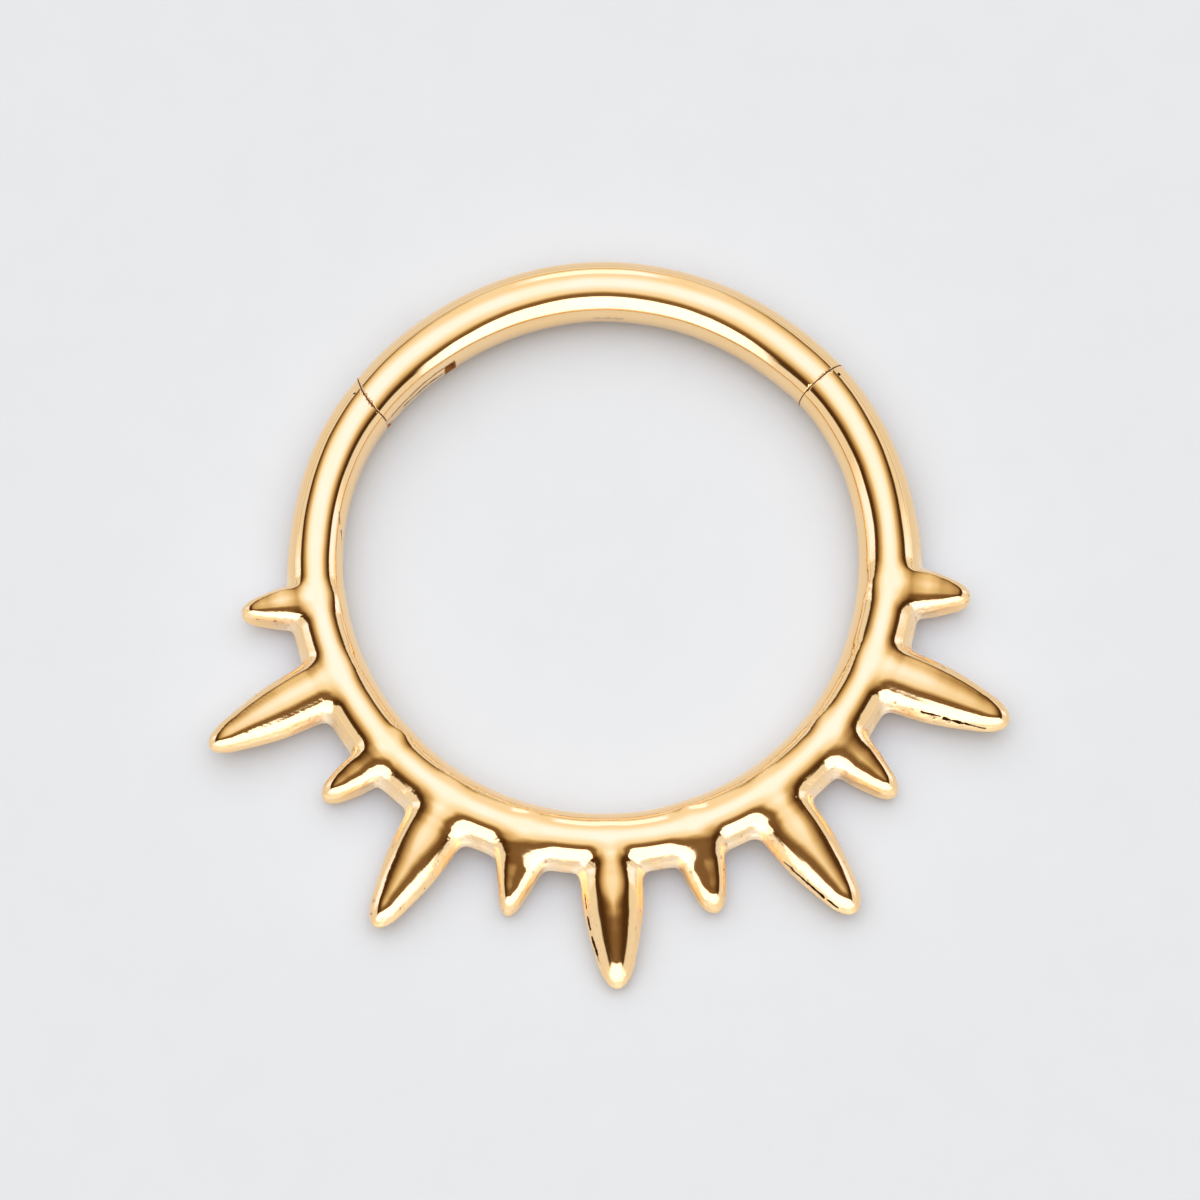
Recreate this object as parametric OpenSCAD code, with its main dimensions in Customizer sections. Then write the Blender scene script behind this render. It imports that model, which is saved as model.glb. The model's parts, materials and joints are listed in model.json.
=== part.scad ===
// Hinged segment ring of round wire, with a fan of spikes along its outer side.
// The hoop lies in the XY plane. The origin is the hoop's centre, half way up the wire.
// The middle spike points along -Y, and +Z is the hoop's axis.
// Directions round the hoop are in degrees, from +X towards +Y.

/* [Hoop] */
// Clear width across the inside of the hoop
inner_d = 10; // [9.6:0.1:11]
// Thickness of the round wire
wire_d = 1.2; // [1.2:0.01:1.3]

/* [Spikes] */
// Width of a large spike at its root
large_w = 1.17; // [1.05:0.01:1.17]
// Radius of a large spike's tip, seen along the hoop's axis
large_tip_r = 0.25; // [0.2:0.01:0.3]
// Width of a small spike at its root
small_w = 0.88; // [0.7:0.01:1.0]
// Radius of a small spike's tip, seen along the hoop's axis
small_tip_r = 0.15; // [0.12:0.01:0.2]

/* [Hinge] */
// Direction of the hinge pin round the hoop
pin_dir = 130.5; // [130.2:0.1:130.8]
// Diameter of the hinge pin
pin_d = 0.4; // [0.36:0.01:0.42]
// Free space between the pin and the wall of its hole in the tongue
pin_play = 0.02; // [0.01:0.005:0.03]
// Width of the saw-cut slot between the two ears
slot_w = 0.46; // [0.42:0.01:0.5]
// Direction of the slot's closed end
slot_end_dir = 123.4; // [123:0.1:123.6]
// Free space on each side of the tongue
tongue_play = 0.03; // [0.02:0.005:0.04]
// Width of the tongue, seen along the pin
tongue_w = 1.2; // [1.0:0.02:1.2]
// Radius of the ears' rounded ends
ear_end_r = 1.21; // [1.19:0.01:1.23]
// Gap at the hinge seam
seam_gap = 0.03; // [0.02:0.005:0.05]

/* [Catch] */
// Direction of the clasp seam round the hoop
clasp_dir = 38.5; // [36:0.5:40]
// Gap at the clasp seam
clasp_gap = 0.03; // [0.02:0.005:0.05]
// Thickness of the catch tooth along the hoop's axis
tooth_t = 0.36; // [0.3:0.01:0.4]
// Width of the catch tooth across its swing
tooth_w = 0.25; // [0.2:0.01:0.3]
// How far the catch tooth reaches past the seam
tooth_reach = 0.42; // [0.3:0.01:0.45]
// Free space round the catch tooth in its socket
tooth_play = 0.035; // [0.03:0.005:0.05]

/* [Hidden] */
$fn = 96;
gold = [0.93, 0.72, 0.38];
pin_gold = [0.80, 0.60, 0.30];

// The wire
wire_r = wire_d / 2;
hoop_r = inner_d / 2 + wire_r;

// The spikes, one row each, as the casting has them.
// Columns: direction in degrees, reach past the wire's middle, and 1 for large or 0 for small
DIR = 0;
REACH = 1;
LARGE = 2;
spikes = [
    [186.4, 1.52, 0],
    [204.0, 2.88, 1],
    [219.6, 1.60, 0],
    [236.7, 2.89, 1],
    [253.2, 1.73, 0],
    [269.9, 2.90, 1],
    [285.5, 1.78, 0],
    [303.0, 2.91, 1],
    [318.7, 1.76, 0],
    [335.8, 2.90, 1],
    [352.7, 1.59, 0]
];
// Depth of each spike at its root, along the hoop's axis, a little under the wire's thickness
large_depth = wire_d - 0.02;
small_depth = wire_d - 0.1;
// Past the wire's middle, where a large and a small spike are widest
large_widest_at = 0.8;
small_widest_at = 0.6;
// Radius of each tip seen from the side, where it is blunter than from above
large_side_tip_r = 0.4;
small_side_tip_r = 0.28;
// The flanks aim at a round end a little smaller than the tip, so that they cross its circle
end_share = 0.93;
// The side view reaches this much further, so that the outline alone cuts the tip
side_extra = 0.03;

// The hinge. The ears' rounded ends have their middle a little inside the pin.
pin_r = pin_d / 2;
pin_from_centre = hoop_r - 0.14;
pin_at = polar(pin_from_centre, pin_dir);
ear_middle = polar(hoop_r - 0.32, pin_dir + 0.3);
tongue_t = slot_w - 2 * tongue_play;
tongue_neck_w = tongue_w - 0.12;
tongue_dir = 218.5;
tongue_len = 1.9;
// A direction past the hinge seam, where every cut there has ended
past_seam = 152;

// The catch. The tooth and its socket follow circles round the pin.
half_clasp_gap = clasp_gap / hoop_r * 90 / PI;
seam_middle = polar(hoop_r + 0.13, clasp_dir);
tooth_middle_r = norm(seam_middle - pin_at);
tooth_dir = atan2(seam_middle[1] - pin_at[1], seam_middle[0] - pin_at[0]);
tooth_root = 0.5;

function polar(r, dir) = [r * cos(dir), r * sin(dir)];
function arc_degrees(length, r) = length / r * 180 / PI;

// Radius of a round flank that is widest, half_w, at one level and would run smoothly
// into a round end of radius end_r, whose middle lies h further out
function flank_radius(half_w, end_r, h) =
    (h * h + half_w * half_w - end_r * end_r) / (2 * (half_w - end_r));

// A stretch of the round wire between two directions
module wire(from, to) {
    rotate([0, 0, from])
        rotate_extrude(angle = to - from)
            translate([hoop_r, 0])
                circle(r = wire_r);
}

// A pointed outline with round flanks and a round tip, along +Y from the wire's middle
module spike_outline(half_w, widest_at, reach, tip_r) {
    end_r = end_share * tip_r;
    h = reach - end_r - widest_at;
    flank_r = flank_radius(half_w, end_r, h);
    touch = reach - end_r + end_r * h / (flank_r - end_r);
    intersection() {
        translate([half_w - flank_r, widest_at])
            circle(r = flank_r);
        translate([flank_r - half_w, widest_at])
            circle(r = flank_r);
        union() {
            translate([0, reach - tip_r])
                circle(r = tip_r);
            translate([-half_w, 0])
                square([2 * half_w, touch]);
        }
    }
}

// One spike at the origin, along +Y: its outline from above cuts its round side form
module spike(half_w, half_depth, widest_at, reach, tip_r, side_tip_r) {
    intersection() {
        linear_extrude(height = 4 * half_depth, center = true)
            spike_outline(half_w, widest_at, reach, tip_r);
        rotate([-90, 0, 0])
            rotate_extrude()
                intersection() {
                    spike_outline(half_depth, widest_at, reach + side_extra, side_tip_r);
                    square([2 * half_depth, 2 * reach]);
                }
    }
}

module large_spike(reach) {
    spike(large_w / 2, large_depth / 2, large_widest_at, reach, large_tip_r, large_side_tip_r);
}

module small_spike(reach) {
    spike(small_w / 2, small_depth / 2, small_widest_at, reach, small_tip_r, small_side_tip_r);
}

module spike_fan() {
    for (row = spikes)
        rotate([0, 0, row[DIR] - 90])
            translate([0, hoop_r, 0])
                if (row[LARGE] == 1)
                    large_spike(row[REACH]);
                else
                    small_spike(row[REACH]);
}

// A round eye about the pin, on a neck that runs towards the fixed arc
module tongue_bar() {
    translate(pin_at)
        rotate([0, 0, tongue_dir])
            linear_extrude(height = tongue_t, center = true) {
                circle(d = tongue_w);
                translate([0, -tongue_neck_w / 2])
                    square([tongue_len, tongue_neck_w]);
            }
}

module tongue() {
    intersection() {
        wire(slot_end_dir - 2, past_seam);
        tongue_bar();
    }
}

// The round space that the ears turn in, larger than them by the given gap
module ear_space(gap) {
    translate(ear_middle)
        cylinder(r = ear_end_r + gap, h = 2 * wire_d, center = true);
}

module pin_bore(r) {
    translate(pin_at)
        cylinder(r = r, h = 2 * wire_d, center = true);
}

// A short bar on a circle round the pin, at the clasp seam, grown by play on each side
module tooth_bar(play) {
    root = arc_degrees(tooth_root, tooth_middle_r);
    tip = arc_degrees(tooth_reach + play, tooth_middle_r);
    translate(pin_at)
        rotate([0, 0, tooth_dir - tip])
            rotate_extrude(angle = root + tip)
                translate([tooth_middle_r, 0])
                    square([tooth_w + 2 * play, tooth_t + 2 * play], center = true);
}

// A flat wedge about the hoop's centre, from one direction to the end of the hinge
module wedge(from, height) {
    linear_extrude(height = height, center = true)
        polygon([[0, 0], polar(2 * hoop_r, from), polar(2 * hoop_r, past_seam + 5)]);
}

// Everything past the ears' rounded ends
module past_ears() {
    difference() {
        wedge(pin_dir, 2 * wire_d);
        ear_space(0);
    }
}

module spiked_arc() {
    color(gold)
        difference() {
            union() {
                difference() {
                    wire(pin_dir, 360 + clasp_dir - half_clasp_gap);
                    ear_space(seam_gap);
                }
                tongue();
                spike_fan();
            }
            pin_bore(pin_r + pin_play);
            tooth_bar(tooth_play);
        }
}

module hinged_segment() {
    color(gold)
        difference() {
            union() {
                wire(clasp_dir + half_clasp_gap, past_seam);
                tooth_bar(0);
            }
            past_ears();
            wedge(slot_end_dir, slot_w);
            pin_bore(pin_r);
        }
}

// The pin is filed flush with the round wire at both ends
module hinge_pin() {
    color(pin_gold)
        intersection() {
            pin_bore(pin_r);
            wire(slot_end_dir, pin_dir + 10);
        }
}

spiked_arc();
hinged_segment();
hinge_pin();
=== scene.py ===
# Hinged segment ring of polished gold: the spiked arc, the hinged segment and its pin.
# Places and sizes follow the CAD model. Lengths are in metres in the scene and in millimetres
# inside the tables, cutting tools and node trees, whose results are scaled at the end.
import json
import math

import bpy
from mathutils import Matrix, Vector


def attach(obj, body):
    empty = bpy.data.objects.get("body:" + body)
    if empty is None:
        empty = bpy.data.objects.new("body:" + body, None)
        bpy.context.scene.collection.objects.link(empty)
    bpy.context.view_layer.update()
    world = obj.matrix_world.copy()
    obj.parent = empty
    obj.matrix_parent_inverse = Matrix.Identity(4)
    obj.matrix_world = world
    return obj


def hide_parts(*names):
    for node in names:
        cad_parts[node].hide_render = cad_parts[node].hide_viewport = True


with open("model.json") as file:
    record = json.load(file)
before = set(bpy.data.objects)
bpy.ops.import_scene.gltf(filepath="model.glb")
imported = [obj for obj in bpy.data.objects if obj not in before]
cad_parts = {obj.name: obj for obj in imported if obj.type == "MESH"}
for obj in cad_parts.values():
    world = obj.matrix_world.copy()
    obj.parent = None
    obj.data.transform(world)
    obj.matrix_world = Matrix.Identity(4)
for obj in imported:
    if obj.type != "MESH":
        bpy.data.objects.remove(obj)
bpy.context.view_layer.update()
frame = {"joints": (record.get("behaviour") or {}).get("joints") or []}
MM = 0.001


def polar(r, degrees):
    return (r * math.cos(math.radians(degrees)), r * math.sin(math.radians(degrees)))


# Sizes, in mm and degrees
hoop_r = 5.6
wire_r = 0.6
pin_dir = 130.5
pin_at = [at / MM for at in frame["joints"][0]["pos_m"][:2]]
pin_r = 0.2
pin_play = 0.02
# The pin's ends lie a little under the wire's surface, as if polished over
pin_half_len = 0.5
ear_middle = polar(hoop_r - 0.32, pin_dir + 0.3)
ear_end_r = 1.21
# Both seams are as narrow as they look, a little less than in the CAD model
seam_gap = 0.022
slot_w = 0.46
slot_end_dir = 123.4
tongue_play = 0.03
tongue_t = slot_w - 2 * tongue_play
tongue_w = 1.20
tongue_neck_w = tongue_w - 0.12
tongue_dir = 218.5
tongue_len = 1.9
clasp_dir = 38.5
clasp_gap = 0.022
tooth_t = 0.36
tooth_w = 0.25
tooth_reach = 0.42
tooth_root = 0.5
tooth_play = 0.035
# The strength of the polished wire's soft lumps
wire_lumps = 0.02
# The step between the points that each casting's mesh is drawn from
voxel = 0.05
# The corners of the boxes that the two castings are drawn in
arc_box = (-8.7, -8.7, -0.75), (8.7, 6.4, 0.75)
segment_box = (-6.4, 1.5, -0.75), (6.4, 6.4, 0.75)

# The spikes, as the casting has them, in mm and degrees. Columns: direction, reach past the
# wire's middle, kind, sideways shift at the root and at the tip, width there against its kind,
# and how far its upper side slopes down to the flat back, from 0 to 1. Reaches, shifts and
# widths were fitted to the spikes' edges in the photo with a scratch script
spikes = [
    (186.4, 1.492, "small", 0.037, -0.014, 0.718, 0.838, 0.10),
    (204.0, 2.864, "large", -0.105, -0.029, 0.979, 0.808, 0.10),
    (219.6, 1.556, "small", 0.148, -0.081, 0.487, 0.992, 0.80),
    (236.7, 2.866, "large", -0.006, 0.002, 1.053, 0.901, 0.55),
    (253.2, 1.626, "small", -0.011, -0.002, 0.993, 0.884, 1.00),
    (269.9, 2.876, "large", -0.048, 0.019, 1.033, 1.036, 1.00),
    (285.5, 1.672, "small", 0.051, 0.030, 0.747, 1.184, 1.00),
    (303.0, 2.898, "large", -0.073, 0.031, 1.031, 0.991, 0.55),
    (318.7, 1.712, "small", 0.068, 0.054, 0.825, 1.052, 0.90),
    (335.8, 2.896, "large", -0.028, 0.055, 1.018, 1.010, 0.25),
    (352.7, 1.594, "small", -0.044, -0.005, 0.844, 1.019, 0.30),
]

# Each kind of spike. Columns of its rows: share of the reach, half width, then the crest's
# height and the back's depth from the middle plane, first for a spike that is alike on both
# faces and then for one that slopes down to a flat back. The tip is rounded over round_len.
# For a spike that is alike on both faces, shoulder is how softly the face's edge is rounded, in
# half widths, and section is how far the face falls from the crest against the distance
# sideways, both in half widths. Crown scales that fall for one that slopes down.
profiles = {
    "large": {
        "round_len": 0.50,
        "shoulder": 0.40,
        "crown": 1.0,
        "section": [(0.0, 0.0), (0.20, 0.017), (0.40, 0.067), (0.53, 0.118), (0.66, 0.172),
                    (0.80, 0.262), (0.92, 0.375), (1.0, 0.49)],
        "rows": [
            (0.00, 0.600, 0.47, 0.39, 0.40, 0.39),
            (0.105, 0.598, 0.548, 0.51, 0.512, 0.51),
            (0.15, 0.597, 0.562, 0.51, 0.545, 0.51),
            (0.21, 0.596, 0.557, 0.51, 0.535, 0.53),
            (0.28, 0.593, 0.543, 0.51, 0.497, 0.54),
            (0.42, 0.575, 0.508, 0.49, 0.425, 0.56),
            (0.50, 0.560, 0.482, 0.47, 0.368, 0.57),
            (0.60, 0.515, 0.449, 0.44, 0.275, 0.575),
            (0.70, 0.455, 0.412, 0.41, 0.175, 0.58),
            (0.80, 0.390, 0.371, 0.37, 0.065, 0.58),
            (0.90, 0.340, 0.322, 0.32, -0.06, 0.58),
            (1.00, 0.325, 0.250, 0.25, -0.22, 0.58),
        ],
    },
    "small": {
        "round_len": 0.30,
        "shoulder": 0.55,
        "crown": 0.45,
        "section": [(0.0, 0.0), (0.20, 0.016), (0.36, 0.055), (0.50, 0.105), (0.64, 0.160),
                    (0.74, 0.205), (0.86, 0.300), (1.0, 0.46)],
        "rows": [
            (0.00, 0.450, 0.46, 0.39, 0.47, 0.39),
            (0.12, 0.457, 0.545, 0.47, 0.530, 0.47),
            (0.20, 0.462, 0.567, 0.50, 0.522, 0.50),
            (0.30, 0.465, 0.564, 0.51, 0.487, 0.53),
            (0.45, 0.450, 0.547, 0.49, 0.415, 0.55),
            (0.57, 0.400, 0.522, 0.47, 0.350, 0.565),
            (0.68, 0.330, 0.490, 0.45, 0.285, 0.575),
            (0.80, 0.265, 0.452, 0.42, 0.215, 0.58),
            (0.91, 0.220, 0.410, 0.38, 0.140, 0.58),
            (1.00, 0.200, 0.365, 0.34, 0.050, 0.58),
        ],
    },
}

# The wire as drawn and polished by hand. Columns: direction, inner radius, outer radius, each
# measured in the photo with a scratch script
wire_table = [
    (0, 4.990, 6.215), (12, 5.020, 6.195), (24, 5.054, 6.195), (36, 5.065, 6.184),
    (48, 5.018, 6.162), (60, 5.006, 6.168), (75, 5.003, 6.169), (90, 4.994, 6.176),
    (105, 4.974, 6.142), (120, 4.970, 6.117), (132, 5.014, 6.100), (141, 5.044, 6.100),
    (150, 5.078, 6.125), (162, 5.076, 6.112), (174, 5.055, 6.125), (180, 5.045, 6.150),
    (192, 5.025, 6.163), (204, 5.010, 6.180), (216, 5.010, 6.190), (228, 5.012, 6.222),
    (246, 5.037, 6.224), (270, 5.046, 6.220), (294, 5.040, 6.228), (312, 5.015, 6.224),
    (330, 4.997, 6.220), (342, 4.980, 6.220), (354, 4.980, 6.215), (360, 4.990, 6.215),
]


class Number:
    """A number in a node tree, so that its nodes are written as plain arithmetic."""

    def __init__(self, tree, socket):
        self.tree = tree
        self.socket = socket

    def math(self, operation, *others):
        node = self.tree.nodes.new("ShaderNodeMath")
        node.operation = operation
        for socket, value in zip(node.inputs, (self,) + others):
            put(self.tree, value, socket)
        return Number(self.tree, node.outputs[0])

    def __add__(self, other):
        return self.math("ADD", other)

    def __radd__(self, other):
        return self.math("ADD", other)

    def __sub__(self, other):
        return self.math("SUBTRACT", other)

    def __rsub__(self, other):
        return self.math("MULTIPLY", -1.0) + other

    def __mul__(self, other):
        return self.math("MULTIPLY", other)

    def __truediv__(self, other):
        return self.math("DIVIDE", other)

    def __rtruediv__(self, other):
        return self.math("POWER", -1.0) * other

    def __pow__(self, other):
        return self.math("POWER", other)

    def sqrt(self):
        return self.math("SQRT")

    def abs(self):
        return self.math("ABSOLUTE")

    def least(self, other):
        return self.math("MINIMUM", other)

    def most(self, other):
        return self.math("MAXIMUM", other)

    def soft_least(self, other, width):
        return self.math("SMOOTH_MIN", other, width)

    def soft_most(self, other, width):
        return self.math("SMOOTH_MAX", other, width)

    def rise(self, low, high):
        """0 below low and 1 above high, with a smooth step between them."""
        node = self.tree.nodes.new("ShaderNodeMapRange")
        node.interpolation_type = "SMOOTHSTEP"
        put(self.tree, self, node.inputs["Value"])
        put(self.tree, low, node.inputs["From Min"])
        put(self.tree, high, node.inputs["From Max"])
        return Number(self.tree, node.outputs[0])


def put(tree, value, socket):
    """Feeds a number, another node's output or a plain value into a socket."""
    if isinstance(value, Number):
        tree.links.new(value.socket, socket)
    elif isinstance(value, bpy.types.NodeSocket):
        tree.links.new(value, socket)
    else:
        socket.default_value = value


def xyz(tree, vector):
    node = tree.nodes.new("ShaderNodeSeparateXYZ")
    tree.links.new(vector, node.inputs[0])
    return [Number(tree, out) for out in node.outputs]


def vector_math(tree, operation, *values):
    node = tree.nodes.new("ShaderNodeVectorMath")
    node.operation = operation
    if operation == "SCALE":
        sockets = [node.inputs[0], node.inputs["Scale"]]
    else:
        sockets = [socket for socket in node.inputs if socket.type == "VECTOR"]
    for socket, value in zip(sockets, values):
        put(tree, value, socket)
    gives_number = operation in ("LENGTH", "DOT_PRODUCT", "DISTANCE")
    return node.outputs["Value" if gives_number else "Vector"]


def curve(tree, share, points):
    """A smooth line through points (0 to 1, 0 to 1), read at share."""
    node = tree.nodes.new("ShaderNodeFloatCurve")
    line = node.mapping.curves[0]
    for at, value in points[1:-1]:
        line.points.new(at, value)
    for point, (at, value) in zip(line.points, points):
        point.location = (at, value)
        point.handle_type = "AUTO"
    node.mapping.update()
    put(tree, share, node.inputs["Value"])
    return Number(tree, node.outputs[0])


def new_tree(name, inputs, outputs):
    """A node group with named sockets: the tree, its inputs by name and its outputs by name."""
    tree = bpy.data.node_groups.new(name, "GeometryNodeTree")
    for kind, side in ((inputs, "INPUT"), (outputs, "OUTPUT")):
        for label, socket_type, value in kind:
            made = tree.interface.new_socket(
                name=label, in_out=side, socket_type="NodeSocket" + socket_type)
            if value is not None:
                made.default_value = value
    given = tree.nodes.new("NodeGroupInput").outputs
    out = tree.nodes.new("NodeGroupOutput").inputs
    return tree, {s.name: s for s in given if s.name}, {s.name: s for s in out if s.name}


def call(tree, group, **values):
    """A node that runs a group. A name's underscore stands for the space in the input's name."""
    node = tree.nodes.new("GeometryNodeGroup")
    node.node_tree = group
    for label, value in values.items():
        put(tree, value, node.inputs[label.replace("_", " ")])
    return node


def stored(tree, mesh, name, domain, value):
    """The mesh with a number kept under a name for the material to read."""
    node = tree.nodes.new("GeometryNodeStoreNamedAttribute")
    node.data_type, node.domain = "FLOAT", domain
    node.inputs["Name"].default_value = name
    put(tree, mesh, node.inputs["Geometry"])
    put(tree, value, node.inputs["Value"])
    return node.outputs[0]


def spike_tree(kind):
    """How far a point lies outside one spike: a low crowned face above and below, rounded over
    into steep flanks, within an outline that tapers to a round tip. A Lean above 0 turns the
    upper face a little towards the front of the ring."""
    rows = profiles[kind]["rows"]
    # A curve holds only 0 to 1, so heights are kept in it with this much added
    lift = 0.3
    tree, given, out = new_tree(
        kind + " spike",
        [("Position", "Vector", None), ("Direction", "Float", 0.0), ("Reach", "Float", 1.0),
         ("Root Shift", "Float", 0.0), ("Tip Shift", "Float", 0.0),
         ("Root Width", "Float", 1.0), ("Tip Width", "Float", 1.0), ("Slope Down", "Float", 0.0),
         ("Lean", "Float", 0.08)],
        [("Distance", "Float", None)])
    x, y, z = xyz(tree, given["Position"])
    angle = Number(tree, given["Direction"]).math("RADIANS")
    along_x, along_y = angle.math("COSINE"), angle.math("SINE")
    reach = Number(tree, given["Reach"])
    root_shift, tip_shift = Number(tree, given["Root Shift"]), Number(tree, given["Tip Shift"])
    root_width, tip_width = Number(tree, given["Root Width"]), Number(tree, given["Tip Width"])
    down = Number(tree, given["Slope Down"])
    u = x * along_x + y * along_y - hoop_r
    v = y * along_x - x * along_y
    share = (u / reach).most(0.0).least(1.0)
    v = v - root_shift - (tip_shift - root_shift) * share
    widen = root_width + (tip_width - root_width) * share
    half_width = curve(tree, share, [(row[0], row[1]) for row in rows]) * widen
    crest, back = [
        curve(tree, share, [(row[0], row[level] + lift) for row in rows]) * (1.0 - down)
        + curve(tree, share, [(row[0], row[sloped] + lift) for row in rows]) * down - lift
        for level, sloped in ((2, 4), (3, 5))]
    # Within 0.02 mm of the middle line the ridge is rounded
    across = (v * v + 0.02 ** 2).sqrt() / half_width
    length = profiles[kind]["round_len"]
    tip = ((u - reach + length) / length).most(0.0)
    root = ((0.35 - u) / 0.6).most(0.0)
    outline = ((across * across + tip * tip + root * root).sqrt() - 1.0) * half_width
    # Where it slopes down, the crest is narrow at the root, broad beyond the neck, and drawn to
    # an edge towards the tip
    broad = 0.36
    crown = curve(
        tree, share, [(0.0, 0.90), (0.13, 0.82), (0.28, 0.45), (0.45, broad), (1.0, broad)])
    power = 2.0 - share.rise(0.3, 0.50) * down * down * 0.75
    crown = (crown - broad) * down * down + broad
    sloped = across ** power * crown * profiles[kind]["crown"]
    alike = curve(tree, across, profiles[kind]["section"])
    fall = (alike * (1.0 - down) + sloped * down) * half_width
    upper = z - crest + fall - v * along_x * Number(tree, given["Lean"])
    lower = (z * -1.0) - back + fall
    level_edge = profiles[kind]["shoulder"]
    sloped_edge = share.rise(0.10, 0.65) * 0.42 + 0.63
    shoulder = half_width * (down * down * (sloped_edge - level_edge) + level_edge)
    shoulder = shoulder + share.rise(0.65, 1.0) * 0.16
    faces = upper.soft_most(lower, 0.1)
    # A true distance grows a little less steeply than these blends
    put(tree, faces.soft_most(outline, shoulder) * 0.9, out["Distance"])
    return tree


def form_tree(spike_trees):
    """How far a point lies outside the wire and its spikes, with cast fillets and soft lumps, and
    how near it is to where they join, from 0 to 1."""
    tree, given, out = new_tree(
        "ring form",
        [("Position", "Vector", None), ("Fillet", "Float", 0.32), ("Lumps", "Float", wire_lumps)],
        [("Distance", "Float", None), ("Join", "Float", None)])
    position = given["Position"]
    x, y, z = xyz(tree, position)
    radius = (x * x + y * y).sqrt()
    turn = (y.math("ARCTAN2", x) / (2 * math.pi) + 1.0).math("FRACT")
    # A curve holds only 0 to 1, so each radius is kept in it less a base
    inner_base, outer_base = 4.5, 5.7
    inner = curve(tree, turn, [(a / 360, r - inner_base) for a, r, _ in wire_table]) + inner_base
    outer = curve(tree, turn, [(a / 360, r - outer_base) for a, _, r in wire_table]) + outer_base
    middle = (inner + outer) * 0.5
    half = (outer - inner) * 0.5
    # Where the wire is thinner across, its section is squarer and keeps its full height
    fullness = ((wire_r - half) * 5.5 + 2.0).most(2.0)
    flat = ((radius - middle) / half).abs()
    tall = (z / wire_r).abs()
    body = ((flat ** fullness + tall ** fullness) ** (1.0 / fullness) - 1.0) * half
    fan = None
    for direction, reach, kind, root_shift, tip_shift, root_width, tip_width, down in spikes:
        node = call(tree, spike_trees[kind], Position=position, Direction=direction, Reach=reach,
                    Root_Shift=root_shift, Tip_Shift=tip_shift, Root_Width=root_width,
                    Tip_Width=tip_width, Slope_Down=down)
        one = Number(tree, node.outputs[0])
        fan = one if fan is None else fan.least(one)
    put(tree, 1.0 - (body - fan).abs().rise(0.06, 0.55), out["Join"])
    body = body.soft_least(fan, given["Fillet"])
    noise = tree.nodes.new("ShaderNodeTexNoise")
    put(tree, position, noise.inputs["Vector"])
    noise.inputs["Scale"].default_value = 0.75
    noise.inputs["Detail"].default_value = 1.0
    lumps = (Number(tree, noise.outputs[0]) - 0.5) * Number(tree, given["Lumps"])
    put(tree, body + lumps, out["Distance"])
    return tree


def slope_tree(form):
    """The form's distance and its outward direction, from four points close by."""
    tree, given, out = new_tree(
        "form slope",
        [("Position", "Vector", None), ("Lumps", "Float", wire_lumps)],
        [("Distance", "Float", None), ("Outward", "Vector", None), ("Steepness", "Float", None)])
    step = 0.006
    total, slope = None, None
    for corner in ((1, -1, -1), (-1, -1, 1), (-1, 1, -1), (1, 1, 1)):
        near = vector_math(tree, "ADD", given["Position"], tuple(step * c for c in corner))
        node = call(tree, form, Position=near, Lumps=given["Lumps"])
        value = Number(tree, node.outputs[0])
        part = vector_math(tree, "SCALE", tuple(c / (4 * step) for c in corner), value)
        total = value if total is None else total + value
        slope = part if slope is None else vector_math(tree, "ADD", slope, part)
    put(tree, total * 0.25, out["Distance"])
    put(tree, vector_math(tree, "NORMALIZE", slope), out["Outward"])
    put(tree, vector_math(tree, "LENGTH", slope), out["Steepness"])
    return tree


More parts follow.
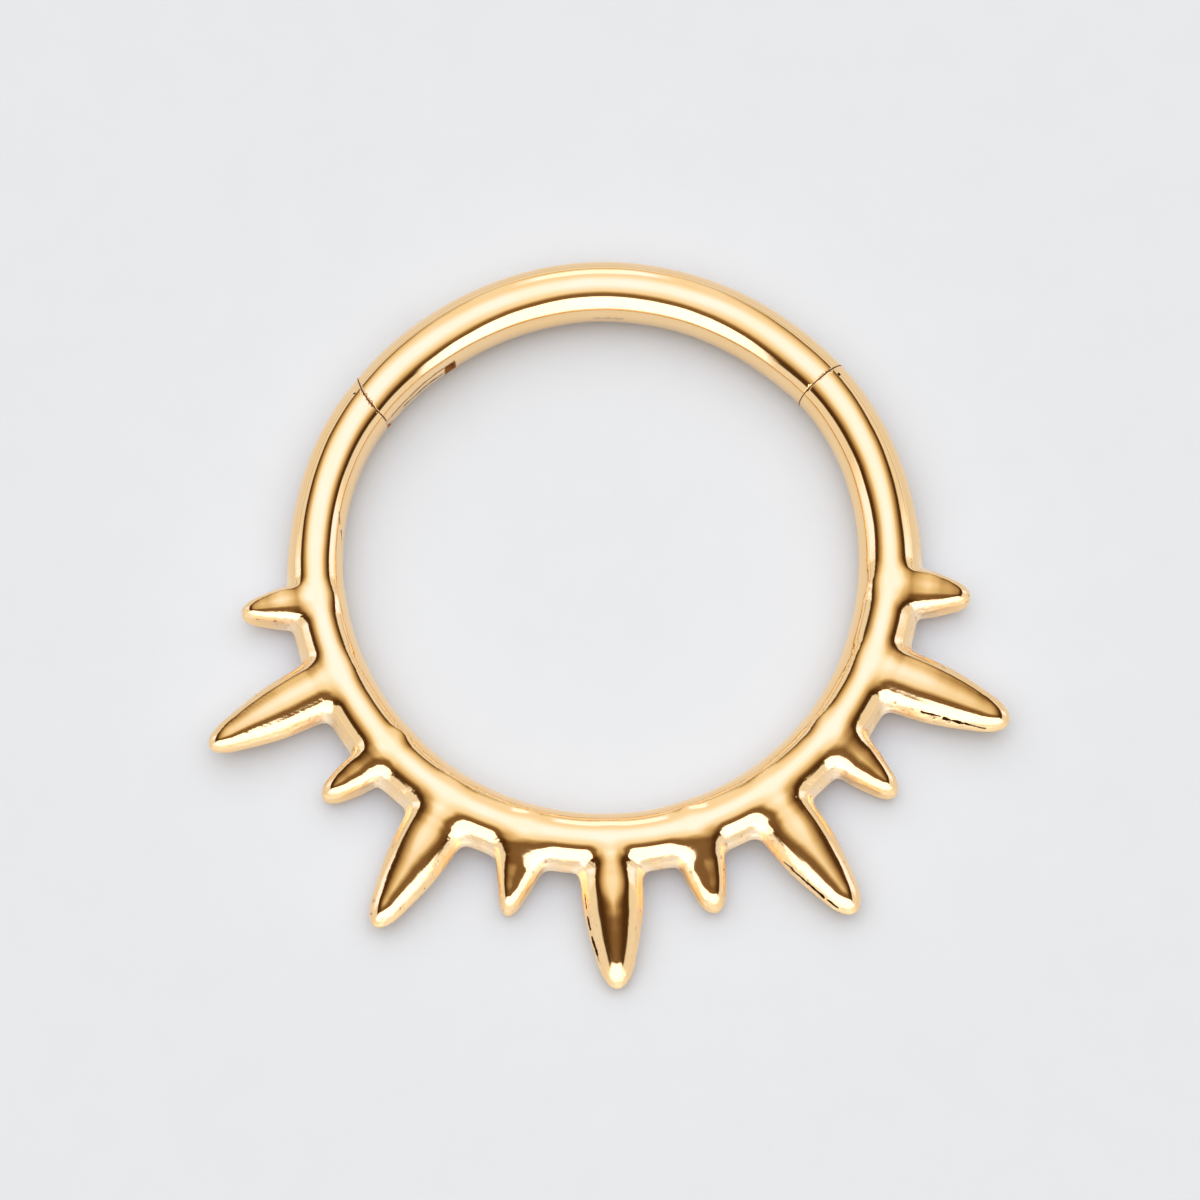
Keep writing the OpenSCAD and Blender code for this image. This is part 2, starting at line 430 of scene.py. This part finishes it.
def casting_tree(form, slope):
    """The metal between two corners: the form made a mesh, laid closely on it, cut by a tool."""
    tree, given, out = new_tree(
        "casting",
        [("Geometry", "Geometry", None), ("Lowest Corner", "Vector", (-1.0, -1.0, -1.0)),
         ("Highest Corner", "Vector", (1.0, 1.0, 1.0)), ("Steps X", "Int", 32),
         ("Steps Y", "Int", 32), ("Steps Z", "Int", 32), ("Lumps", "Float", wire_lumps),
         ("Cutting Tool", "Object", None), ("Metal", "Material", None)],
        [("Geometry", "Geometry", None)])
    position = tree.nodes.new("GeometryNodeInputPosition").outputs[0]
    at = call(tree, form, Position=position, Lumps=given["Lumps"])
    cube = tree.nodes.new("GeometryNodeVolumeCube")
    put(tree, Number(tree, at.outputs["Distance"]) * -1.0, cube.inputs["Density"])
    cube.inputs["Background"].default_value = -1.0
    put(tree, given["Lowest Corner"], cube.inputs["Min"])
    put(tree, given["Highest Corner"], cube.inputs["Max"])
    for axis in "XYZ":
        put(tree, given["Steps " + axis], cube.inputs["Resolution " + axis])
    skin = tree.nodes.new("GeometryNodeVolumeToMesh")
    skin.inputs["Threshold"].default_value = 0.0
    tree.links.new(cube.outputs[0], skin.inputs["Volume"])
    mesh = skin.outputs[0]
    here = call(tree, slope, Position=position, Lumps=given["Lumps"])
    outward = here.outputs["Outward"]
    for _ in range(2):
        off = Number(tree, here.outputs["Distance"]) / Number(tree, here.outputs["Steepness"])
        step = (off * -1.0).most(-voxel).least(voxel)
        move = tree.nodes.new("GeometryNodeSetPosition")
        put(tree, mesh, move.inputs["Geometry"])
        put(tree, vector_math(tree, "SCALE", outward, step), move.inputs["Offset"])
        mesh = move.outputs[0]
    tool = tree.nodes.new("GeometryNodeObjectInfo")
    put(tree, given["Cutting Tool"], tool.inputs["Object"])
    cut = tree.nodes.new("GeometryNodeMeshBoolean")
    cut.operation = "DIFFERENCE"
    cut.solver = "MANIFOLD"
    put(tree, mesh, cut.inputs["Mesh 1"])
    put(tree, tool.outputs["Geometry"], cut.inputs["Mesh 2"])
    mesh = cut.outputs[0]

    # A face that doesn't look the form's way outwards is a saw cut
    keep = tree.nodes.new("GeometryNodeFieldOnDomain")
    keep.domain, keep.data_type = "POINT", "FLOAT_VECTOR"
    put(tree, outward, keep.inputs[0])
    facing = tree.nodes.new("GeometryNodeFieldOnDomain")
    facing.domain, facing.data_type = "FACE", "FLOAT_VECTOR"
    put(tree, tree.nodes.new("GeometryNodeInputNormal").outputs[0], facing.inputs[0])
    cosine = Number(tree, vector_math(tree, "DOT_PRODUCT", keep.outputs[0], facing.outputs[0]))
    on_form = cosine.math("GREATER_THAN", 0.85)
    # The walls of the spikes and of the gaps between them keep their cast skin
    x, y, _ = xyz(tree, position)
    flank = (x * x + y * y).sqrt().rise(6.0, 6.25) * (1.0 - y.rise(0.2, 0.9))
    mesh = stored(tree, mesh, "cast_skin", "POINT", flank)
    # Near the joins of the spikes and the wire the material adds folds to the bumps and paints a
    # paler colour, a painted sheen
    mesh = stored(tree, mesh, "cast_corner", "POINT", Number(tree, at.outputs["Join"]))
    # The material paints the faces cut by the tool brown, as painted shade in the seams, the slot
    # and the socket
    mesh = stored(tree, mesh, "saw_cut", "FACE", 1.0 - on_form)
    # The form's own slope gives smooth normals, and a saw cut keeps flat ones
    pick = tree.nodes.new("GeometryNodeSwitch")
    pick.input_type = "VECTOR"
    put(tree, on_form, pick.inputs["Switch"])
    put(tree, facing.outputs[0], pick.inputs["False"])
    put(tree, keep.outputs[0], pick.inputs["True"])
    smooth = tree.nodes.new("GeometryNodeSetShadeSmooth")
    put(tree, mesh, smooth.inputs["Geometry"])
    normals = tree.nodes.new("GeometryNodeSetMeshNormal")
    normals.mode, normals.domain = "FREE", "CORNER"
    put(tree, smooth.outputs[0], normals.inputs["Mesh"])
    put(tree, pick.outputs[0], normals.inputs["Custom Normal"])
    scale = tree.nodes.new("GeometryNodeTransform")
    scale.inputs["Scale"].default_value = (MM, MM, MM)
    put(tree, normals.outputs[0], scale.inputs["Geometry"])
    real = tree.nodes.new("GeometryNodeRealizeInstances")
    put(tree, scale.outputs[0], real.inputs[0])
    metal = tree.nodes.new("GeometryNodeSetMaterial")
    put(tree, real.outputs[0], metal.inputs["Geometry"])
    put(tree, given["Metal"], metal.inputs["Material"])
    put(tree, metal.outputs[0], out["Geometry"])
    return tree


# The outlines of the cutting tools, counter-clockwise, in mm and degrees. Blocks that cut right
# through the wire differ in height, so that no two of their faces lie in one plane
def arc_points(middle, r, start, stop, steps):
    turns = [start + (stop - start) * i / steps for i in range(steps + 1)]
    return [(middle[0] + x, middle[1] + y) for x, y in (polar(r, turn) for turn in turns)]


def disc(middle, r, steps=240):
    return arc_points(middle, r, 0.0, 360.0, steps)[:-1]


def sector(start, stop, r=9.0, steps=24):
    return [(0.0, 0.0)] + arc_points((0.0, 0.0), r, start, stop, steps)


def bar_on_circle(middle, r, half_w, start, stop, steps=16):
    return (arc_points(middle, r + half_w, start, stop, steps)
            + arc_points(middle, r - half_w, stop, start, steps))


def block(name, outline, low, high):
    """A closed block with the given outline, from low to high."""
    count = len(outline)
    mesh = bpy.data.meshes.new(name)
    points = [(x, y, low) for x, y in outline] + [(x, y, high) for x, y in outline]
    faces = [list(reversed(range(count))), list(range(count, 2 * count))]
    faces += [(i, (i + 1) % count, (i + 1) % count + count, i + count) for i in range(count)]
    mesh.from_pydata(points, [], faces)
    made = bpy.data.objects.new(name, mesh)
    bpy.context.scene.collection.objects.link(made)
    return made


def joined(name, first, steps):
    """The first block, with others joined to it or taken from it in turn."""
    for operation, other in steps:
        cut = first.modifiers.new("step", "BOOLEAN")
        cut.operation, cut.object, cut.solver = operation, other, "EXACT"
    bpy.context.view_layer.update()
    view = first.evaluated_get(bpy.context.evaluated_depsgraph_get())
    mesh = bpy.data.meshes.new_from_object(view)
    made = bpy.data.objects.new(name, mesh)
    bpy.context.scene.collection.objects.link(made)
    for old in [first] + [other for _, other in steps]:
        bpy.data.objects.remove(old)
    return made


def tooth_outline(play):
    """The catch tooth on its circle about the pin, or its socket, larger by the play."""
    seam_middle = polar(hoop_r + 0.13, clasp_dir)
    dx, dy = seam_middle[0] - pin_at[0], seam_middle[1] - pin_at[1]
    r = math.hypot(dx, dy)
    turn = math.degrees(math.atan2(dy, dx))
    root = math.degrees(tooth_root / r)
    tip = math.degrees((tooth_reach + play) / r)
    return bar_on_circle(pin_at, r, tooth_w / 2 + play, turn - tip, turn + root)


def tongue_outline():
    """The round eye about the pin and its neck, as one outline."""
    eye_r, half = tongue_w / 2, tongue_neck_w / 2
    meet = math.degrees(math.asin(half / eye_r))
    points = arc_points((0.0, 0.0), eye_r, meet, 360 - meet, 60)
    points += [(tongue_len, -half), (tongue_len, half)]
    turn = Matrix.Rotation(math.radians(tongue_dir), 2)
    return [tuple(turn @ Vector(p) + Vector(pin_at)) for p in points]


def arc_tool():
    """Everything that is taken from the full hoop to leave the spiked arc and its tongue."""
    half_gap = math.degrees(clasp_gap / 2 / hoop_r)
    socket_top = tooth_t / 2 + tooth_play
    opening = block("opening", sector(clasp_dir - half_gap, pin_dir), -1.5, 1.5)
    return joined("arc tool", opening, [
        ("UNION", block("ear space", disc(ear_middle, ear_end_r + seam_gap), -1.4, 1.4)),
        ("DIFFERENCE", block("tongue", tongue_outline(), -tongue_t / 2, tongue_t / 2)),
        ("UNION", block("bore", disc(pin_at, pin_r + pin_play, 64), -0.3, 0.3)),
        ("UNION", block("socket", tooth_outline(tooth_play), -socket_top, socket_top)),
    ])


def segment_tool():
    """Everything that is taken from the full hoop to leave the hinged segment and its tooth."""
    half_gap = math.degrees(clasp_gap / 2 / hoop_r)
    bore_top = pin_half_len + 0.005
    slot = [(0, 0), polar(14, slot_end_dir), polar(14, 150), polar(14, 175)]
    closure = block("closure", sector(clasp_dir + half_gap, pin_dir), -1.2, 1.2)
    keep = joined("kept", closure, [
        ("UNION", block("ears", disc(ear_middle, ear_end_r), -1.1, 1.1)),
        ("UNION", block("tooth", tooth_outline(0.0), -tooth_t / 2, tooth_t / 2)),
        ("DIFFERENCE", block("slot", slot, -slot_w / 2, slot_w / 2)),
        ("DIFFERENCE", block("bore", disc(pin_at, pin_r, 64), -bore_top, bore_top)),
    ])
    around = block("around", [(-12, -12), (12, -12), (12, 12), (-12, 12)], -2.0, 2.0)
    return joined("segment tool", around, [("DIFFERENCE", keep)])


def cast_piece(name, casting, corners, tool, metal):
    """Runs the casting tree between two corners and keeps its result as a plain mesh."""
    low, high = corners
    blank = bpy.data.objects.new(name + "_blank", bpy.data.meshes.new(name + "_blank"))
    bpy.context.scene.collection.objects.link(blank)
    step = blank.modifiers.new("casting", "NODES")
    step.node_group = casting
    size = voxel * 1
    given = {"Lowest Corner": low, "Highest Corner": high, "Lumps": wire_lumps,
             "Cutting Tool": tool, "Metal": metal}
    for axis, a, b in zip("XYZ", low, high):
        given["Steps " + axis] = int(round((b - a) / size)) + 1
    for socket in casting.interface.items_tree:
        if socket.in_out == "INPUT" and socket.name in given:
            step[socket.identifier] = given[socket.name]
    bpy.context.view_layer.update()
    view = blank.evaluated_get(bpy.context.evaluated_depsgraph_get())
    mesh = bpy.data.meshes.new_from_object(view)
    mesh.name = name
    piece = bpy.data.objects.new(name, mesh)
    bpy.context.scene.collection.objects.link(piece)
    bpy.data.objects.remove(blank)
    bpy.data.objects.remove(tool)
    return piece


# Dark lines and dots on the casting, in mm. The lines on the spikes' flanks are painted dark
# reflections, the last three rows, along the slot, are painted shade in its gap, and the rest are
# cold shuts, slits and pits left in the casting. Columns: one end, the other end and half the
# width. The ends were marked in the photo by eye and laid on the surface with a scratch script
cracks_and_painted_dark_lines = [
    ((-0.555, -6.654, 0.158), (-0.535, -6.920, 0.104), 0.019),
    ((-0.522, -7.104, 0.044), (-0.480, -7.312, -0.004), 0.033),
    ((-0.448, -7.480, -0.049), (-0.362, -7.803, -0.120), 0.036),
    ((-0.362, -7.803, -0.120), (-0.300, -7.960, -0.180), 0.016),
    ((6.080, -3.265, 0.263), (6.426, -3.347, 0.227), 0.024),
    ((6.503, -3.383, 0.199), (6.851, -3.475, 0.129), 0.036),
    ((6.909, -3.478, 0.131), (7.297, -3.565, 0.035), 0.024),
    ((3.295, -6.133, 0.105), (3.444, -6.264, 0.130), 0.023),
    ((3.462, -6.298, 0.105), (3.705, -6.518, 0.077), 0.024),
    ((3.743, -6.556, 0.065), (4.042, -6.828, -0.002), 0.033),
    ((4.117, -6.888, -0.011), (4.306, -7.020, -0.063), 0.026),
    ((4.560, -4.427, 0.219), (4.961, -4.599, 0.138), 0.020),
    ((-1.726, -6.109, 0.356), (-1.726, -6.109, 0.356), 0.026),
    ((3.566, -4.946, 0.488), (3.566, -4.946, 0.488), 0.022),
    ((3.724, -4.904, 0.386), (3.724, -4.904, 0.386), 0.019),
    ((3.844, -4.883, 0.255), (3.844, -4.883, 0.255), 0.022),
    ((-4.734, 3.489, 0.529), (-4.734, 3.489, 0.529), 0.024),
    ((4.743, 3.560, 0.525), (4.743, 3.560, 0.525), 0.029),
    ((-5.099, 1.097, 0.468), (-5.087, 0.871, 0.406), 0.011),
    ((-5.071, 0.764, 0.353), (-5.059, 0.584, 0.273), 0.011),
    ((-5.053, 0.180, 0.129), (-5.044, -0.175, 0.093), 0.010),
    ((-3.778, 3.334, 0.090), (-3.487, 3.613, 0.047), 0.016),
    ((-3.487, 3.613, 0.047), (-3.216, 3.836, 0.067), 0.019),
    ((-3.216, 3.836, 0.067), (-2.956, 4.046, 0.024), 0.023),
]
# A dull worn patch on the inner side of the hinged segment, and stains at the spikes' roots,
# with the same columns
worn = [
    ((0.020, 5.003, 0.105), (0.560, 4.980, 0.110), 0.045),
    ((-0.525, -6.064, 0.412), (-0.338, -6.220, 0.452), 0.030),
    ((0.361, -6.080, 0.434), (0.532, -6.177, 0.251), 0.028),
    ((-1.939, -6.243, 0.287), (-1.665, -6.125, 0.333), 0.045),
]


def nearest_tree():
    """How far a point lies from a straight line between two ends."""
    tree = bpy.data.node_groups.new("distance to line", "ShaderNodeTree")
    for label in ("Position", "Start", "End"):
        tree.interface.new_socket(name=label, in_out="INPUT", socket_type="NodeSocketVector")
    tree.interface.new_socket(name="Distance", in_out="OUTPUT", socket_type="NodeSocketFloat")
    given = tree.nodes.new("NodeGroupInput").outputs
    out = tree.nodes.new("NodeGroupOutput").inputs
    line = vector_math(tree, "SUBTRACT", given["End"], given["Start"])
    reach = vector_math(tree, "SUBTRACT", given["Position"], given["Start"])
    # A mark whose two ends are the same has no length, so this keeps clear of a division by 0
    length_squared = Number(tree, vector_math(tree, "DOT_PRODUCT", line, line)).most(0.000001)
    share = Number(tree, vector_math(tree, "DOT_PRODUCT", reach, line)) / length_squared
    foot = vector_math(tree, "SCALE", line, share.most(0.0).least(1.0))
    put(tree, vector_math(tree, "DISTANCE", reach, foot), out["Distance"])
    return tree


def nearest_mark(tree, point, rows, line_tree):
    """The distance to the closest mark, in half widths of that mark."""
    closest = None
    for start, end, half_width in rows:
        node = tree.nodes.new("ShaderNodeGroup")
        node.node_tree = line_tree
        put(tree, point, node.inputs["Position"])
        node.inputs["Start"].default_value = start
        node.inputs["End"].default_value = end
        one = Number(tree, node.outputs[0]) / half_width
        closest = one if closest is None else closest.least(one)
    return closest


def grain(tree, point, scale, detail=2.0, roughness=0.5):
    """Noise about zero, with so many lumps to the millimetre."""
    noise = tree.nodes.new("ShaderNodeTexNoise")
    put(tree, point, noise.inputs["Vector"])
    noise.inputs["Scale"].default_value = scale
    noise.inputs["Detail"].default_value = detail
    noise.inputs["Roughness"].default_value = roughness
    return Number(tree, noise.outputs[0]) - 0.5


def millimetres(tree):
    """The place on an object, in mm."""
    coordinates = tree.nodes.new("ShaderNodeTexCoord").outputs["Object"]
    return vector_math(tree, "SCALE", coordinates, 1.0 / MM)


def attribute(tree, name):
    node = tree.nodes.new("ShaderNodeAttribute")
    node.attribute_name = name
    return Number(tree, node.outputs["Fac"])


def blend(tree, share, first, second):
    """The first colour where share is 0 and the second where it is 1."""
    node = tree.nodes.new("ShaderNodeMix")
    node.data_type = "RGBA"
    put(tree, share, node.inputs[0])
    put(tree, first, node.inputs[6])
    put(tree, second, node.inputs[7])
    return node.outputs[2]


def polished_gold(name):
    """Bright yellow gold, polished by hand on the wire and faces, with its cast skin left on the
    walls of the spikes. Its colour also holds painted light: a paler painted sheen where the
    spikes join the wire, painted shade on the faces cut by the tool, and painted dark
    reflections and shade among the dark lines of the cracks."""
    metal = bpy.data.materials.new(name)
    metal.use_nodes = True
    tree = metal.node_tree
    shader = tree.nodes["Principled BSDF"]
    point = millimetres(tree)
    facing = tree.nodes.new("ShaderNodeNewGeometry").outputs["Normal"]
    upright = xyz(tree, facing)[2].abs()
    skin = attribute(tree, "cast_skin") * (1.0 - upright.rise(0.55, 0.88))
    # Where the spikes join the wire: folds in the bumps, and a paler painted sheen in the colour
    corner = attribute(tree, "cast_corner") * (1.0 - upright.rise(0.80, 0.95))
    # The faces cut by the tool, whose brown is painted shade in the seams, the slot and the
    # socket
    saw = attribute(tree, "saw_cut")

    soft = grain(tree, point, 0.9)
    fine = grain(tree, point, 4.5, 3.0)
    pitted = grain(tree, point, 9.0, 2.0, 0.7)
    line_tree = nearest_tree()
    # The dark lines: cracks and pits, painted dark reflections on the spikes' flanks, and painted
    # shade in the slot's gap
    to_crack_and_painted_dark = nearest_mark(tree, point, cracks_and_painted_dark_lines, line_tree)
    to_worn = nearest_mark(tree, point, worn, line_tree)
    crack_and_painted_dark = 1.0 - (to_crack_and_painted_dark + grain(tree, point, 8.0) * 2.8).rise(0.75, 1.10)
    dull = 1.0 - (to_worn + pitted * 3.0).rise(0.4, 1.2)
    pits = (pitted * -1.0).rise(0.13, 0.19) * skin * soft.rise(-0.08, 0.08)
    folds = grain(tree, vector_math(tree, "MULTIPLY", point, (1.0, 1.0, 0.35)), 7.0, 2.0)

    warm_gold, pale_gold = (1.0, 0.690, 0.350, 1.0), (1.0, 0.708, 0.392, 1.0)
    # The paler corner colour is a painted sheen, a reflection painted where the spikes join the
    # wire
    skin_gold, corner_painted_sheen_gold = (1.0, 0.712, 0.398, 1.0), (1.0, 0.82, 0.60, 1.0)
    # The brown of the cut faces is painted shade in the seams, the slot and the socket
    cut_face_painted_shade_brown, dull_brown = (0.58, 0.22, 0.035, 1.0), (0.55, 0.40, 0.25, 1.0)
    # The near-black line colour paints cracks, and also dark reflections on the spikes' flanks
    # and shade in the slot
    pit_brown, crack_and_painted_dark_brown = (0.42, 0.20, 0.07, 1.0), (0.050, 0.018, 0.005, 1.0)
    colour = blend(tree, soft.rise(-0.2, 0.2), warm_gold, pale_gold)
    colour = blend(tree, skin * (fine.rise(-0.1, 0.25) * 0.45 + 0.25), colour, skin_gold)
    # Painted sheen, paler where the spikes join the wire
    colour = blend(tree, corner * skin * 0.85, colour, corner_painted_sheen_gold)
    # Painted shade on the faces cut by the tool
    colour = blend(tree, saw * 0.8, colour, cut_face_painted_shade_brown)
    colour = blend(tree, dull * 0.6, colour, dull_brown)
    colour = blend(tree, pits * 0.8, colour, pit_brown)
    # Cracks, with painted dark reflections and painted shade, as near-black lines
    colour = blend(tree, crack_and_painted_dark, colour, crack_and_painted_dark_brown)
    put(tree, colour, shader.inputs["Base Color"])
    put(tree, (1.0 - crack_and_painted_dark - saw * 0.65).most(0.0), shader.inputs["Metallic"])
    put(tree, 0.5 - (crack_and_painted_dark + saw).least(1.0) * 0.5, shader.inputs["Specular IOR Level"])
    rough = (soft * 0.03 + fine * 0.03 + 0.080 + skin * (fine * 0.14 + 0.26)
             + saw * 0.22 + dull * 0.12 + crack_and_painted_dark * 0.4)
    put(tree, rough.most(0.05), shader.inputs["Roughness"])

    # Heights in mm: soft waves from polishing, lumps in the cast skin, folds where the spikes
    # join the wire, pits, and grooves along the cracks and the painted dark lines
    height = (fine * 0.0009 + grain(tree, point, 1.6, 1.0) * 0.0022
              + skin * (fine * 0.017 + pitted * 0.004) + corner * folds * 0.009
              - pits * 0.012 - crack_and_painted_dark * 0.03)
    bump = tree.nodes.new("ShaderNodeBump")
    bump.inputs["Distance"].default_value = MM
    put(tree, height, bump.inputs["Height"])
    # The steep cast walls are shaded as if they leant back a little, with their draft
    steep = 1.0 - upright.rise(0.25, 0.60)
    draft = vector_math(tree, "SCALE", (0.0, 0.0, 0.38), skin * steep)
    leant = vector_math(tree, "ADD", facing, draft)
    put(tree, vector_math(tree, "NORMALIZE", leant), bump.inputs["Normal"])
    tree.links.new(bump.outputs[0], shader.inputs["Normal"])
    return metal


gold = polished_gold("polished_yellow_gold")

spike_trees = {kind: spike_tree(kind) for kind in profiles}
form = form_tree(spike_trees)
slope = slope_tree(form)
casting = casting_tree(form, slope)

arc = cast_piece("spiked_arc_casting", casting, arc_box, arc_tool(), gold)
segment = cast_piece("hinged_segment_wire", casting, segment_box, segment_tool(), gold)

pin = block("hinge_pin_rod", disc(pin_at, pin_r, 64), -pin_half_len, pin_half_len)
pin.data.transform(Matrix.Scale(MM, 4))
pin.data.materials.append(gold)

for piece, node, body in (
        (arc, "spiked_arc", "arc"),
        (segment, "hinged_segment", "segment"),
        (pin, "hinge_pin", "segment")):
    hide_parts(node)
    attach(piece, body)

# The paper lies under the wire's lowest lumps
paper_z = -wire_r * MM - 0.00001
paper_half = 3.0
corners = [(-paper_half, -paper_half, paper_z), (paper_half, -paper_half, paper_z),
           (paper_half, paper_half, paper_z), (-paper_half, paper_half, paper_z)]
floor_mesh = bpy.data.meshes.new("floor")
floor_mesh.from_pydata(corners, [], [(0, 1, 2, 3)])
floor = bpy.data.objects.new("floor", floor_mesh)
bpy.context.scene.collection.objects.link(floor)
paper = bpy.data.materials.new("pale_paper")
paper.use_nodes = True
sheet = paper.node_tree.nodes["Principled BSDF"]
mottle = grain(paper.node_tree, millimetres(paper.node_tree), 1.1, 3.0).rise(-0.4, 0.4)
paper_colour = blend(
    paper.node_tree, mottle, (0.809, 0.817, 0.833, 1.0), (0.821, 0.829, 0.845, 1.0))
put(paper.node_tree, paper_colour, sheet.inputs["Base Color"])
sheet.inputs["Roughness"].default_value = 0.9
sheet.inputs["Specular IOR Level"].default_value = 0.0
floor_mesh.materials.append(paper)

scene = bpy.context.scene
scene.view_settings.view_transform = "Standard"


def studio(world):
    """The studio by direction: a soft box overhead that widens to the rear, a dark gap about it,
    a white card low in front, paler cards at the sides, and the paper's sweep all round, with a
    narrow lamp and a thin dark line above it at the rear."""
    world.use_nodes = True
    world.cycles.sampling_method = "NONE"
    tree = world.node_tree
    shine = tree.nodes["Background"]
    x, y, z = xyz(tree, tree.nodes.new("ShaderNodeTexCoord").outputs["Generated"])
    high = z.most(0.02)
    side = x.abs() / high
    rear = y / high
    # Degrees from the middle of the soft box, which is 18 degrees to the rear of straight up
    middle = (y * 0.309 + z * 0.951).most(-1.0).least(1.0).math("ARCCOSINE").math("DEGREES")

    box_edge = (rear * 0.20 + 0.50).most(0.42)
    in_box = (1.0 - (side - box_edge).rise(-0.28, 0.50)) * rear.rise(-0.47, -0.20)
    box = 1.36 - middle.rise(5.0, 32.0) * 0.39
    gap = 0.07 + (1.0 - side.rise(0.4, 1.0)) * (1.0 - rear.rise(-0.4, 0.1)) * 0.14
    level = gap + (box - gap) * in_box

    ahead = (rear * -1.0).most(0.02)
    in_front = (rear * -1.0).rise(0.66, 0.80) * (1.0 - (side / ahead).rise(0.95, 1.50))
    front_card = in_front * 2.4
    panel = (1.0 - ((y / x.abs().most(0.05)) - 0.22).abs().rise(0.10, 0.28)) * 0.45
    side_card = side.rise(1.33, 1.58) * (panel + 0.88)
    lamp = ((1.0 - (x.abs() / y.most(0.02)).rise(0.06, 0.22))
            * z.rise(0.24, 0.38) * (1.0 - z.rise(0.46, 0.64)))
    level = level.most(side_card).most(front_card) + lamp * 0.80
    line = 1.0 - (1.0 - (z - 0.15).abs().rise(0.01, 0.06)) * y.rise(0.0, 0.5) * 0.35
    above = z.rise(0.04, 0.12)
    level = level * line * above + (1.0 - above) * 0.93

    lit = (level + in_front + side.rise(1.33, 1.58) + 1.0 - above).least(1.0)
    tint = tree.nodes.new("ShaderNodeCombineColor")
    tint.inputs["Red"].default_value = 1.0
    green = curve(tree, lit, [(0.0, 0.40), (0.3, 0.68), (0.7, 0.84), (0.9, 0.93), (1.0, 1.0)])
    blue = curve(tree, lit, [(0.0, 0.07), (0.3, 0.35), (0.7, 0.55), (0.9, 0.76), (1.0, 1.0)])
    blue = blue + (level.least(1.4) - 1.05).most(0.0) * (1.0 - level.rise(1.46, 1.6)) * 1.4
    put(tree, green, tint.inputs["Green"])
    put(tree, blue, tint.inputs["Blue"])
    tree.links.new(tint.outputs[0], shine.inputs["Color"])
    path = tree.nodes.new("ShaderNodeLightPath")
    plain = Number(tree, path.outputs["Is Camera Ray"])
    put(tree, level + (0.82 - level) * plain, shine.inputs["Strength"])

    # What lights the paper is softer: one broad light overhead, a little to the rear
    toward = x * -0.045 + y * 0.168 + z * 0.985
    soft = tree.nodes.new("ShaderNodeBackground")
    # What the gold throws back on the paper is kept nearly as neutral as the rest of its light
    off_metal = Number(tree, path.outputs["Is Glossy Ray"])
    white, against_gold = (1.0, 1.0, 1.0, 1.0), (1.05, 1.50, 2.85, 1.0)
    put(tree, blend(tree, off_metal, white, against_gold), soft.inputs["Color"])
    put(tree, toward.rise(0.3, 1.0) * 1.514 + 0.169, soft.inputs["Strength"])
    pick = tree.nodes.new("ShaderNodeMixShader")
    off_paper = Number(tree, path.outputs["Diffuse Depth"]).math("GREATER_THAN", 0.5)
    put(tree, off_paper, pick.inputs[0])
    tree.links.new(shine.outputs[0], pick.inputs[1])
    tree.links.new(soft.outputs[0], pick.inputs[2])
    tree.links.new(pick.outputs[0], tree.nodes["World Output"].inputs["Surface"])


world = bpy.data.worlds.new("studio")
scene.world = world
studio(world)

# A long lens far above the ring, a little in front of it, fitted to the hoop's circles in the
# photo. Lengths are in mm, and the scale is in pixels to the mm for a picture 1200 pixels wide
tilt, twist = math.radians(16.183), math.radians(1.928)
camera_distance, picture_scale, picture_width = 180, 51.3082, 1200
sensor_width = 36.0
# Where it aims, from the hoop's middle, across and up the picture
aim_right, aim_up = -0.0511, -0.6949
right = Vector((math.cos(twist), -math.sin(twist), 0))
up = Vector((math.cos(tilt) * math.sin(twist), math.cos(tilt) * math.cos(twist), math.sin(tilt)))
backward = right.cross(up)
camera_at = (right * aim_right + up * aim_up + backward * camera_distance) * MM
lens = bpy.data.cameras.new("camera")
lens.sensor_width = sensor_width
lens.lens = picture_scale * camera_distance / picture_width * sensor_width
lens.clip_start = 0.01
lens.clip_end = 20
camera = bpy.data.objects.new("camera", lens)
camera.matrix_world = Matrix((
    (right.x, up.x, backward.x, camera_at.x),
    (right.y, up.y, backward.y, camera_at.y),
    (right.z, up.z, backward.z, camera_at.z),
    (0, 0, 0, 1)))
scene.collection.objects.link(camera)
scene.camera = camera
